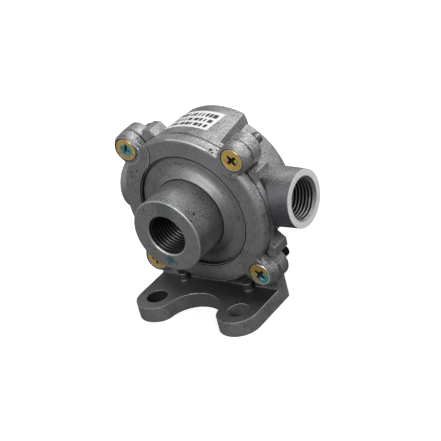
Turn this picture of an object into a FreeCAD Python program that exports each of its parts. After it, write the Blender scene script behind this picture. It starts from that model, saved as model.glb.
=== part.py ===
"""Quick exhaust valve with an inlet boss, two side ports and a cast foot.

Frame, in millimetres: the origin is on the underside of the foot, midway between the two foot holes.
X points to the right-hand port, Y to the back of the valve and Z up. The inlet opens towards -Y.
"""
import FreeCAD
import Part

import math
import os

V = FreeCAD.Vector
X_DIR = V(1, 0, 0)
Y_DIR = V(0, 1, 0)
Z_DIR = V(0, 0, 1)

# Overall
AXIS_Z = 40.0            # height of the valve axis above the foot underside
SEAM_Y = 15.6            # joint face between cover and body
BACK_Y = 39.85            # back face of the body
PORT_Y = 28.55            # axis of the side ports

# Threaded ports (M16 x 1.5), bored here to the root of the thread
THREAD_R = 8.0
THREAD_DEPTH = 13.0
PASSAGE_R = 5.5

# Cover
RIM_R = 31.05
RIM_FRONT_Y = 10.95
RIM_ROUND = 1.4
TROUGH_R = 23.05
TROUGH_Y = 12.35
HUB_Y = 9.35             # where the flared hub meets the boss
HUB_R = 15.2
HUB_FLARE_R = 7.5
BOSS_R = 14.7
BOSS_FRONT_Y = -6.3
BOSS_EDGE = 0.4
BOSS_MOUTH_R = 8.45
CHAMBER_R = 21.35
CHAMBER_Y = 14.25
INLET_SEAT_R = 8.0
INLET_SEAT_Y = 15.15

# Screws and lugs
LUG_XZ = 24.25           # distance of the screws from the axis, along X and along Z
LUG_R = 6.3
LUG_FRONT_R = 5.05
LUG_SHOULDER_R = 5.95
LUG_SHOULDER = 1.25       # length of the rounded front edge of a cover lug
LUG_BACK_Y = 21.35
SCREW_R = 2.5
SCREW_HOLE_R = 2.65
HEAD_R = 4.5
HEAD_DEPTH = 2.1
SCREW_LENGTH = 18.0
LUG_WEB_LENGTH = 10.5

# Body
FLANGE_BACK_Y = 18.7
DRUM_FRONT_R = 27.75
DRUM_BACK_R = 26.95
DRUM_ROUND = 1.35
PAD_BACK_R = 29.9
PAD_HALF_FRONT = 14.4
PAD_HALF_BACK = 11.2
PAD_ROOT_Z = 18.0
PAD_DRAFT_DEPTH = 2.7
PAD_SIDE_DRAFT = 1.6     # how much wider the pad is at its root than at its top
PORT_START_X = 18.0
PORT_END_X = 38.9
PORT_R = 11.1
PORT_ROOT_R = 11.75
PORT_MOUTH_R = 8.45
CAVITY_R = 21.8
CAVITY_BACK_Y = 36.05
WEB_BACK_Y = 23.4
WEB_OUTLINE = ((23.15, 8.0), (27.4, 11.55), (30.7, 14.4), (30.6, 17.8), (27.6, 18.5), (23.15, 18.5))

# Exhaust
TUBE_R = 10.7
TUBE_BORE_R = 7.55
TUBE_SHOULDER_R = 14.7
TUBE_SHOULDER_Y = 26.7
EXHAUST_SEAT_Y = 19.9
OUTLET_R = 9.8
OUTLET_Y = 34.55
SCREEN_THICKNESS = 0.8
SCREEN_HOLE_R = 1.5
SCREEN_HOLE_PITCH_R = 4.65
RING_GROOVE_R = 10.5
RING_INNER_R = 8.7
RING_THICKNESS = 1.0
RING_GAP = 5.0
RING_PLAY = 0.1

# Inner parts
DIAPHRAGM_R = 18.7
DIAPHRAGM_FRONT_Y = 15.15
DIAPHRAGM_THICKNESS = 2.7
DIAPHRAGM_CENTRE_R = 12.5
DIAPHRAGM_RIM_THICKNESS = 1.9
GUIDE_R = 19.05
GUIDE_WIDTH = 2.65
GUIDE_BACK_Y = 23.15
SPRING_SEAT_INNER_R = 11.2
SPRING_SEAT_OUTER_R = 15.15
SPRING_SEAT_THICKNESS = 0.7
SPRING_MEAN_R = 13.0
SPRING_WIRE_R = 0.55
SPRING_TURNS = 3.5
SPRING_STEPS_PER_TURN = 20
SEAL_INNER_R = 24.0
SEAL_WIDTH = 2.3
SEAL_DEPTH = 1.8
SEAL_GAP = 0.2

# Foot
FOOT_THICKNESS = 6.25
FOOT_HOLE_X = 19.0
EAR_MARGIN = 8.3          # from the centre of a foot hole to the side of the foot
FOOT_HALF_WIDTH = FOOT_HOLE_X + EAR_MARGIN
FOOT_HOLE_R = 4.2
EAR_R = 8.55
EAR_ROUND = 6.25
NOTCH_Y = -5.05
NOTCH_OVERLAP = 0.68184   # how far the notch's circle reaches into the ears' circles
PEG_X = 15.15
PEG_Y = 13.55
PEG_R = 1.95
PEG_TOP_Z = 9.45

# Label
LABEL_LEFT_X = -11.95
LABEL_RIGHT_X = 8.0
LABEL_FRONT_Y = 20.9
LABEL_BACK_Y = 34.2
LABEL_THICKNESS = 0.2
LABEL_GLUE = 0.04


def cylinder(radius, start, direction, length):
    """Solid cylinder from a start point along a direction."""
    return Part.makeCylinder(radius, length, start, direction)


def cone(radius_1, radius_2, start, direction, length):
    """Solid cone frustum from a start point along a direction."""
    return Part.makeCone(radius_1, radius_2, length, start, direction)


def box(x_range, y_range, z_range):
    """Axis-aligned box between the given limits."""
    corner = V(x_range[0], y_range[0], z_range[0])
    return Part.makeBox(x_range[1] - x_range[0], y_range[1] - y_range[0], z_range[1] - z_range[0], corner)


def turned(profile):
    """Solid of revolution about the valve axis from (radius, y) corner points."""
    points = [V(radius, y, AXIS_Z) for radius, y in profile]
    face = Part.Face(Part.makePolygon(points + [points[0]]))
    return face.revolve(V(0, 0, AXIS_Z), Y_DIR, 360)


def on_axis(y):
    """Point of the valve axis at the given y."""
    return V(0, y, AXIS_Z)


def screw_positions():
    """Names and X, Z places of the four cover screws."""
    return {
        "top_left": (-LUG_XZ, AXIS_Z + LUG_XZ),
        "top_right": (LUG_XZ, AXIS_Z + LUG_XZ),
        "bottom_right": (LUG_XZ, AXIS_Z - LUG_XZ),
        "bottom_left": (-LUG_XZ, AXIS_Z - LUG_XZ),
    }


def lug_web(x, z, front_y, back_y, half_width):
    """Straight web from a lug centre towards the valve axis."""
    centre = V(x, front_y, z)
    inward = V(-x, 0, AXIS_Z - z).normalize()
    across = V(-inward.z, 0, inward.x)
    corners = [
        centre + across * half_width,
        centre + across * half_width + inward * LUG_WEB_LENGTH,
        centre - across * half_width + inward * LUG_WEB_LENGTH,
        centre - across * half_width,
    ]
    return Part.Face(Part.makePolygon(corners + [corners[0]])).extrude(V(0, back_y - front_y, 0))


def cover_lug(x, z):
    """Screw lug of the cover: rounded at the front, wider towards the joint face."""
    shoulder_y = RIM_FRONT_Y + LUG_SHOULDER
    front = cone(LUG_FRONT_R, LUG_SHOULDER_R, V(x, RIM_FRONT_Y, z), Y_DIR, LUG_SHOULDER)
    back = cone(LUG_SHOULDER_R, LUG_R, V(x, shoulder_y, z), Y_DIR, SEAM_Y - shoulder_y)
    front_web = lug_web(x, z, RIM_FRONT_Y, SEAM_Y, LUG_FRONT_R)
    return front.fuse([back, front_web, lug_web(x, z, shoulder_y, SEAM_Y, LUG_SHOULDER_R)])


def body_lug(x, z):
    """Straight screw lug of the body."""
    centre = V(x, SEAM_Y, z)
    return cylinder(LUG_R, centre, Y_DIR, LUG_BACK_Y - SEAM_Y).fuse(lug_web(x, z, SEAM_Y, LUG_BACK_Y, LUG_R))


def threaded_port(start, direction, mouth_r):
    """Cutter for a threaded port: mouth chamfer and bore at thread root."""
    mouth = cone(mouth_r, THREAD_R, start, direction, mouth_r - THREAD_R)
    return mouth.fuse(cylinder(THREAD_R, start, direction, THREAD_DEPTH))


def rounded_corner(radius, y, size, towards=1):
    """Corner points (radius, y) of an outer edge rounded in three facets, from the end face to the side."""
    points = []
    for step in range(4):
        angle = math.radians(30 * step)
        inset = size * (1 - math.sin(angle))
        depth = size * (1 - math.cos(angle))
        points.append((radius - inset, y + towards * depth))
    return points


def make_cover():
    """Front cover with inlet boss, flared hub, trough, rim and lugs."""
    rim_corner = rounded_corner(RIM_R, RIM_FRONT_Y, RIM_ROUND)
    shape = turned([(0, RIM_FRONT_Y)] + rim_corner + [(RIM_R, SEAM_Y), (0, SEAM_Y)])
    for x, z in screw_positions().values():
        shape = shape.fuse(cover_lug(x, z))
    shape = shape.cut(cylinder(TROUGH_R, on_axis(RIM_FRONT_Y - 1.0), Y_DIR, TROUGH_Y - RIM_FRONT_Y + 1.0))
    flare_depth = TROUGH_Y - HUB_Y
    hub = turned([
        (0, HUB_Y),
        (HUB_R, HUB_Y),
        (HUB_R + HUB_FLARE_R / 8, HUB_Y + flare_depth / 3),
        (HUB_R + HUB_FLARE_R / 3, HUB_Y + flare_depth * 0.62),
        (HUB_R + HUB_FLARE_R * 0.65, HUB_Y + flare_depth * 0.85),
        (HUB_R + HUB_FLARE_R, TROUGH_Y),
        (0, TROUGH_Y),
    ])
    boss = turned([
        (0, BOSS_FRONT_Y),
        (BOSS_R - BOSS_EDGE, BOSS_FRONT_Y),
        (BOSS_R, BOSS_FRONT_Y + BOSS_EDGE),
        (BOSS_R, TROUGH_Y),
        (0, TROUGH_Y),
    ])
    shape = shape.fuse([hub, boss])
    shape = shape.cut(threaded_port(on_axis(BOSS_FRONT_Y), Y_DIR, BOSS_MOUTH_R))
    shape = shape.cut(cylinder(PASSAGE_R, on_axis(BOSS_FRONT_Y), Y_DIR, SEAM_Y - BOSS_FRONT_Y + 1.0))
    chamber = turned([
        (INLET_SEAT_R, CHAMBER_Y),
        (CHAMBER_R, CHAMBER_Y),
        (CHAMBER_R, SEAM_Y + 1.0),
        (0, SEAM_Y + 1.0),
        (0, INLET_SEAT_Y),
        (INLET_SEAT_R, INLET_SEAT_Y),
    ])
    shape = shape.cut(chamber)
    for x, z in screw_positions().values():
        shape = shape.cut(cylinder(SCREW_HOLE_R, V(x, RIM_FRONT_Y - 1.0, z), Y_DIR, 8.0))
        shape = shape.cut(cone(HEAD_R, SCREW_HOLE_R, V(x, RIM_FRONT_Y, z), Y_DIR, HEAD_DEPTH))
    return shape.removeSplitter()


def make_screw(x, z):
    """Countersunk cover screw, plain, with its head flush in the lug."""
    head = cone(HEAD_R - 0.05, SCREW_R, V(x, RIM_FRONT_Y, z), Y_DIR, HEAD_DEPTH)
    shank = cylinder(SCREW_R, V(x, RIM_FRONT_Y, z), Y_DIR, SCREW_LENGTH)
    return head.fuse(shank).removeSplitter()


def foot_outline():
    """Foot plate: straight sides, two round ears and the arc-shaped notch between them."""
    ear_x = FOOT_HALF_WIDTH - EAR_R
    plate = box((-FOOT_HALF_WIDTH, FOOT_HALF_WIDTH), (0.0, LUG_BACK_Y), (0.0, FOOT_THICKNESS))
    bridge = box((-ear_x, ear_x), (NOTCH_Y * 0.6, 0.0), (0.0, FOOT_THICKNESS))
    ears = [cylinder(EAR_R, V(side * ear_x, 0, 0), Z_DIR, FOOT_THICKNESS) for side in (-1, 1)]
    plate = plate.fuse([bridge] + ears).removeSplitter()
    notch_r = math.hypot(ear_x, NOTCH_Y) - EAR_R + NOTCH_OVERLAP
    notch = cylinder(notch_r, V(0, NOTCH_Y, -1.0), Z_DIR, FOOT_THICKNESS + 2.0)
    plate = plate.cut(notch)
    tips = []
    for edge in plate.Edges:
        middle = edge.CenterOfMass
        upright = abs(edge.BoundBox.ZLength - FOOT_THICKNESS) < 0.01
        if upright and middle.y < 0 and abs(middle.x) < ear_x - EAR_ROUND / 2:
            tips.append(edge)
    return plate.makeFillet(EAR_ROUND, tips)


def make_foot():
    """L-shaped foot: plate, upright up to the lower lugs and the two short pegs."""
    foot = foot_outline()
    lug_z = AXIS_Z - LUG_XZ
    upright = box((-FOOT_HALF_WIDTH, FOOT_HALF_WIDTH), (SEAM_Y, LUG_BACK_Y), (0.0, lug_z))
    foot = foot.fuse(upright)
    for side in (-1, 1):
        peg = cylinder(PEG_R, V(side * PEG_X, PEG_Y, 0), Z_DIR, PEG_TOP_Z)
        foot = foot.fuse(peg)
        hole = cylinder(FOOT_HOLE_R, V(side * FOOT_HOLE_X, 0, -1.0), Z_DIR, FOOT_THICKNESS + 2.0)
        foot = foot.cut(hole)
    return foot


def pad_section(y, half_width):
    """Upright outline across the pad at one y, wider at its root."""
    root = half_width + PAD_SIDE_DRAFT
    corners = [
        V(-root, y, AXIS_Z + PAD_ROOT_Z),
        V(root, y, AXIS_Z + PAD_ROOT_Z),
        V(root, y, AXIS_Z + DRUM_BACK_R - PAD_DRAFT_DEPTH),
        V(half_width, y, AXIS_Z + RIM_R),
        V(-half_width, y, AXIS_Z + RIM_R),
        V(-root, y, AXIS_Z + DRUM_BACK_R - PAD_DRAFT_DEPTH),
    ]
    return Part.makePolygon(corners + [corners[0]])


def make_pad():
    """Label pad: a tapering raised sector on top of the drum."""
    taper = cone(RIM_R, PAD_BACK_R, on_axis(SEAM_Y), Y_DIR, BACK_Y - SEAM_Y)
    front = pad_section(SEAM_Y, PAD_HALF_FRONT)
    back = pad_section(BACK_Y, PAD_HALF_BACK)
    return taper.common(Part.makeLoft([front, back], True, True))


def make_webs():
    """Short webs beside the lugs: two at the right port, one at the left of the pad."""
    webs = []
    for side in (-1, 1):
        corners = [V(x, SEAM_Y, AXIS_Z + side * z) for x, z in WEB_OUTLINE]
        webs.append(Part.Face(Part.makePolygon(corners + [corners[0]])))
    corners = [V(-z, SEAM_Y, AXIS_Z + x) for x, z in WEB_OUTLINE]
    webs.append(Part.Face(Part.makePolygon(corners + [corners[0]])))
    return [web.extrude(V(0, WEB_BACK_Y - SEAM_Y, 0)) for web in webs]


def make_body():
    """Cast body with flange, lugs, side ports, pad, foot and exhaust tube."""
    drum_corner = rounded_corner(DRUM_BACK_R, BACK_Y, DRUM_ROUND, -1)
    shape = turned([(0, BACK_Y)] + drum_corner + [(DRUM_FRONT_R, SEAM_Y), (0, SEAM_Y)])
    flange_back_r = RIM_R + (PAD_BACK_R - RIM_R) * (FLANGE_BACK_Y - SEAM_Y) / (BACK_Y - SEAM_Y)
    shape = shape.fuse(cone(RIM_R, flange_back_r, on_axis(SEAM_Y), Y_DIR, FLANGE_BACK_Y - SEAM_Y))
    shape = shape.fuse(make_pad())
    for side in (-1, 1):
        root = V(side * PORT_START_X, PORT_Y, AXIS_Z)
        shape = shape.fuse(cone(PORT_ROOT_R, PORT_R, root, X_DIR * side, PORT_END_X - PORT_START_X))
    for x, z in screw_positions().values():
        shape = shape.fuse(body_lug(x, z))
    shape = shape.fuse(make_webs() + [make_foot()])
    cavity = cylinder(CAVITY_R, on_axis(SEAM_Y), Y_DIR, CAVITY_BACK_Y - SEAM_Y)
    for angle in (45, 135, 225, 315):
        guide = box((GUIDE_R, CAVITY_R + 1.0), (SEAM_Y, GUIDE_BACK_Y), (-GUIDE_WIDTH / 2, GUIDE_WIDTH / 2))
        guide.rotate(V(0, 0, 0), Y_DIR, angle)
        guide.translate(V(0, 0, AXIS_Z))
        cavity = cavity.cut(guide)
    tube = cylinder(TUBE_R, on_axis(EXHAUST_SEAT_Y), Y_DIR, CAVITY_BACK_Y - EXHAUST_SEAT_Y)
    shoulder = cylinder(TUBE_SHOULDER_R, on_axis(TUBE_SHOULDER_Y), Y_DIR, CAVITY_BACK_Y - TUBE_SHOULDER_Y)
    shape = shape.cut(cavity.cut(tube.fuse(shoulder)))
    shape = shape.cut(cylinder(TUBE_BORE_R, on_axis(SEAM_Y), Y_DIR, BACK_Y - SEAM_Y + 1.0))
    shape = shape.cut(cylinder(OUTLET_R, on_axis(OUTLET_Y), Y_DIR, BACK_Y - OUTLET_Y + 1.0))
    groove_front = on_axis(OUTLET_Y + SCREEN_THICKNESS)
    shape = shape.cut(cylinder(RING_GROOVE_R, groove_front, Y_DIR, RING_THICKNESS + 2 * RING_PLAY))
    groove_inner_r = SEAL_INNER_R - SEAL_GAP
    groove_outer_r = SEAL_INNER_R + SEAL_WIDTH + SEAL_GAP
    seal_groove = turned([
        (groove_inner_r, SEAM_Y - 1.0),
        (groove_outer_r, SEAM_Y - 1.0),
        (groove_outer_r, SEAM_Y + SEAL_DEPTH),
        (groove_inner_r, SEAM_Y + SEAL_DEPTH),
    ])
    shape = shape.cut(seal_groove)
    for side in (-1, 1):
        mouth = V(side * PORT_END_X, PORT_Y, AXIS_Z)
        shape = shape.cut(threaded_port(mouth, X_DIR * -side, PORT_MOUTH_R))
        shape = shape.cut(cylinder(PASSAGE_R, mouth, X_DIR * -side, PORT_END_X - PORT_START_X))
    for x, z in screw_positions().values():
        shape = shape.cut(cylinder(SCREW_R, V(x, SEAM_Y - 1.0, z), Y_DIR, 10.0))
    return shape.removeSplitter()


def make_seal():
    """Rubber ring between cover and body, pressed to the depth of its groove."""
    ring = cylinder(SEAL_INNER_R + SEAL_WIDTH, on_axis(SEAM_Y), Y_DIR, SEAL_DEPTH)
    return ring.cut(cylinder(SEAL_INNER_R, on_axis(SEAM_Y), Y_DIR, SEAL_DEPTH))


def make_diaphragm():
    """Rubber disc with a thinner rim."""
    step = DIAPHRAGM_THICKNESS - DIAPHRAGM_RIM_THICKNESS
    centre = cylinder(DIAPHRAGM_CENTRE_R, on_axis(DIAPHRAGM_FRONT_Y), Y_DIR, step)
    rim_front = on_axis(DIAPHRAGM_FRONT_Y + step)
    return centre.fuse(cylinder(DIAPHRAGM_R, rim_front, Y_DIR, DIAPHRAGM_RIM_THICKNESS))


def make_spring_seat():
    """Flat steel ring between the diaphragm and the spring."""
    front = DIAPHRAGM_FRONT_Y + DIAPHRAGM_THICKNESS
    ring = cylinder(SPRING_SEAT_OUTER_R, on_axis(front), Y_DIR, SPRING_SEAT_THICKNESS)
    return ring.cut(cylinder(SPRING_SEAT_INNER_R, on_axis(front), Y_DIR, SPRING_SEAT_THICKNESS))


def make_spring():
    """Coil spring between the spring seat and the shoulder of the exhaust tube."""
    front = DIAPHRAGM_FRONT_Y + DIAPHRAGM_THICKNESS + SPRING_SEAT_THICKNESS + SPRING_WIRE_R
    length = TUBE_SHOULDER_Y - SPRING_WIRE_R - front
    steps = int(SPRING_TURNS * SPRING_STEPS_PER_TURN)
    spine = []
    for step in range(steps + 1):
        angle = 2 * math.pi * step / SPRING_STEPS_PER_TURN
        offset = V(SPRING_MEAN_R * math.cos(angle), length * step / steps, SPRING_MEAN_R * math.sin(angle))
        spine.append(on_axis(front) + offset)
    corners = []
    for step in range(6):
        angle = math.pi * step / 3
        offset = V(SPRING_WIRE_R * math.cos(angle), SPRING_WIRE_R * math.sin(angle), 0)
        corners.append(spine[0] + offset)
    section = Part.makePolygon(corners + [corners[0]])
    return Part.makePolygon(spine).makePipeShell([section], True, False, 1)


def make_screen():
    """Perforated disc in the exhaust outlet."""
    start = on_axis(OUTLET_Y)
    disc = cylinder(OUTLET_R - RING_PLAY, start, Y_DIR, SCREEN_THICKNESS)
    disc = disc.cut(cylinder(SCREEN_HOLE_R, start, Y_DIR, SCREEN_THICKNESS))
    for index in range(6):
        angle = math.radians(60 * index)
        place = V(SCREEN_HOLE_PITCH_R * math.cos(angle), 0, SCREEN_HOLE_PITCH_R * math.sin(angle))
        disc = disc.cut(cylinder(SCREEN_HOLE_R, start + place, Y_DIR, SCREEN_THICKNESS))
    return disc


def make_retaining_ring():
    """Open steel ring in the groove behind the screen."""
    start = on_axis(OUTLET_Y + SCREEN_THICKNESS + RING_PLAY)
    ring = cylinder(RING_GROOVE_R - RING_PLAY, start, Y_DIR, RING_THICKNESS)
    ring = ring.cut(cylinder(RING_INNER_R, start, Y_DIR, RING_THICKNESS))
    y_range = (start.y, start.y + RING_THICKNESS)
    return ring.cut(box((-RING_GAP / 2, RING_GAP / 2), y_range, (AXIS_Z - RING_GROOVE_R, AXIS_Z)))


def make_label():
    """Thin label which follows the curved pad."""
    slope = (PAD_BACK_R - RIM_R) / (BACK_Y - SEAM_Y)
    front_r = RIM_R + LABEL_GLUE + slope * (LABEL_FRONT_Y - SEAM_Y)
    back_r = RIM_R + LABEL_GLUE + slope * (LABEL_BACK_Y - SEAM_Y)
    length = LABEL_BACK_Y - LABEL_FRONT_Y
    start = on_axis(LABEL_FRONT_Y)
    outer = cone(front_r + LABEL_THICKNESS, back_r + LABEL_THICKNESS, start, Y_DIR, length)
    shell = outer.cut(cone(front_r, back_r, start, Y_DIR, length))
    limits = box((LABEL_LEFT_X, LABEL_RIGHT_X), (LABEL_FRONT_Y, LABEL_BACK_Y), (AXIS_Z, AXIS_Z + 40.0))
    return shell.common(limits)


def main():
    """Builds every node and writes one STEP file for each."""
    nodes = {
        "front_cover": make_cover(),
        "valve_body": make_body(),
        "cover_seal": make_seal(),
        "diaphragm": make_diaphragm(),
        "spring_seat": make_spring_seat(),
        "return_spring": make_spring(),
        "exhaust_screen": make_screen(),
        "retaining_ring": make_retaining_ring(),
        "label": make_label(),
    }
    for name, (x, z) in screw_positions().items():
        nodes["cover_screw_" + name] = make_screw(x, z)
    os.makedirs("parts", exist_ok=True)
    for name, shape in nodes.items():
        print(name, shape.ShapeType, len(shape.Solids), shape.isValid(), round(shape.Volume, 1))
        shape.exportStep("parts/" + name + ".step")


main()
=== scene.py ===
"""Looks of the quick exhaust valve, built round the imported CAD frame.

The frame is in metres: the origin is on the underside of the foot between its two holes, X points to the
right-hand port, Y to the back and Z up. Each sub-assembly is a class that builds and dresses its own pieces.
"""
from __future__ import annotations

import logging
import math
import random
from dataclasses import dataclass
from enum import Enum
from functools import cached_property

import bmesh
import bpy
from mathutils import Matrix, Vector

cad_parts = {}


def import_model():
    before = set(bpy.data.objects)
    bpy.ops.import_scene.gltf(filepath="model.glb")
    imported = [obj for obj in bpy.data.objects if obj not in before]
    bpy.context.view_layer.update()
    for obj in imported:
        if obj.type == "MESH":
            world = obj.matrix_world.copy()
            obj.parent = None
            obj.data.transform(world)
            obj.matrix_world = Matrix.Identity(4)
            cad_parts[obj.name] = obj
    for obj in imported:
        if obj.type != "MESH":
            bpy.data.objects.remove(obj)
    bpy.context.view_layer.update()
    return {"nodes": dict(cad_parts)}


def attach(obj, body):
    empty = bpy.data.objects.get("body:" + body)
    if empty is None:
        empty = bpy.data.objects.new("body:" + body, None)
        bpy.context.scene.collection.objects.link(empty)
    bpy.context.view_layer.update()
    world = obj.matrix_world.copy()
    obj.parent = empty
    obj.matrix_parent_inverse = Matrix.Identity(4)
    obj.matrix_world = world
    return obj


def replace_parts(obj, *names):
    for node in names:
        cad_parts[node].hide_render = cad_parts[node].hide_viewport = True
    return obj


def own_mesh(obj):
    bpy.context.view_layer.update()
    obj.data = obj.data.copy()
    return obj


LOG = logging.getLogger("quick_exhaust_valve")
MM = 0.001
AXIS_HEIGHT = 40.0 * MM       # valve axis above the foot's underside
COVER_FACE_Y = 10.95 * MM     # front of the cover's rim and lugs
SEAM_Y = 15.6 * MM            # joint between cover and body
BOSS_FACE_Y = -6.3 * MM       # front of the inlet boss
RIM_RADIUS = 31.05 * MM       # outside of the cover's rim
TROUGH_RADIUS = 23.05 * MM    # outer wall of the trough
BOSS_RADIUS = 14.7 * MM       # outside of the inlet boss
SCREW_OFFSET = 24.25 * MM     # cover screws from the valve axis, in X and in Z
PORT_Y = 28.55 * MM           # axis of the side ports
PORT_END_X = 38.9 * MM        # mouth faces of the side ports
HOUSING = "housing"
Pair = tuple[float, float]
Point = tuple[float, float, float]
Colour = tuple[float, float, float, float]
Face = tuple[int, ...]
BLACK = (0.0, 0.0, 0.0, 1.0)
WHITE = (1.0, 1.0, 1.0, 1.0)
PORE_BLACK = (0.004, 0.004, 0.004, 1.0)
MARKING_TEAL = (0.045, 0.21, 0.26, 1.0)


class Slot(Enum):
    """Material slots of the record."""

    CAST = "cast_aluminium"
    STEEL = "bright_steel"
    ZINC = "yellow_zinc"
    LABEL = "white_label"


class Corner(Enum):
    """The four cover screws, named by their place as seen from the front."""

    TOP_LEFT = "top_left"
    TOP_RIGHT = "top_right"
    BOTTOM_RIGHT = "bottom_right"
    BOTTOM_LEFT = "bottom_left"


@dataclass(frozen=True)
class Value:
    """A grey value or colour in a node tree, which can be calculated with like a number."""

    sheet: NodeSheet
    socket: bpy.types.NodeSocket

    def __add__(self, other: Value | float) -> Value:
        """Adds."""
        return self.sheet.math("ADD", self, other)

    def __sub__(self, other: Value | float) -> Value:
        """Subtracts from this value."""
        return self.sheet.math("SUBTRACT", self, other)

    def __rsub__(self, other: float) -> Value:
        """Subtracts this value from a number."""
        return self.sheet.math("SUBTRACT", other, self)

    def __mul__(self, other: Value | float) -> Value:
        """Multiplies."""
        return self.sheet.math("MULTIPLY", self, other)

    def __truediv__(self, other: Value | float) -> Value:
        """Divides this value."""
        return self.sheet.math("DIVIDE", self, other)

    def __abs__(self) -> Value:
        """Drops the sign."""
        return self.sheet.math("ABSOLUTE", self)

    def __gt__(self, limit: Value | float) -> Value:
        """Gives 1 above the limit and 0 elsewhere."""
        return self.sheet.math("GREATER_THAN", self, limit)

    def __lt__(self, limit: Value | float) -> Value:
        """Gives 1 below the limit and 0 elsewhere."""
        return self.sheet.math("LESS_THAN", self, limit)

    def at_least(self, other: Value | float) -> Value:
        """Gives the larger of two values."""
        return self.sheet.math("MAXIMUM", self, other)

    def sine(self) -> Value:
        """Gives the sine of an angle in radians."""
        return self.sheet.math("SINE", self)

    def held(self) -> Value:
        """Holds the value between 0 and 1."""
        return self.sheet.math("MULTIPLY", self, 1.0, clamp=True)

    def rise(self, start: float, span: float) -> Value:
        """Rises from 0 at the start to 1 after the span, and stays there."""
        return ((self - start) / span).held()

    def ramp(self, *stops: tuple[float, float | Colour]) -> Value:
        """Maps the value through grey or coloured stops, given as (place, tone) in rising order."""
        return self.sheet.ramp(self, stops)


@dataclass(frozen=True)
class Parts:
    """The three parts of a place or of a direction."""

    x: Value
    y: Value
    z: Value


@dataclass(frozen=True)
class RingLine:
    """A thin line of painted shade or painted highlight, as a circle or arc on a casting about an axis
    parallel to Y.

    The centre is a pair of X and Z. The line shows only between two values of Y (depths) and of X (across).
    """

    radius: float
    depths: Pair
    centre: Pair = (0.0, AXIS_HEIGHT)
    across: Pair = (-1.0, 1.0)
    width: float = 0.14 * MM
    strength: float = 0.85
    # True for a painted highlight, false for a dark line of painted shade.
    painted_highlight: bool = False


@dataclass(frozen=True)
class PaintMark:
    """A small dab of paint, a dark pore or a painted glint on a surface."""

    centre: Point
    radius: float
    strength: float = 0.9
    colour: Colour = MARKING_TEAL


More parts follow.
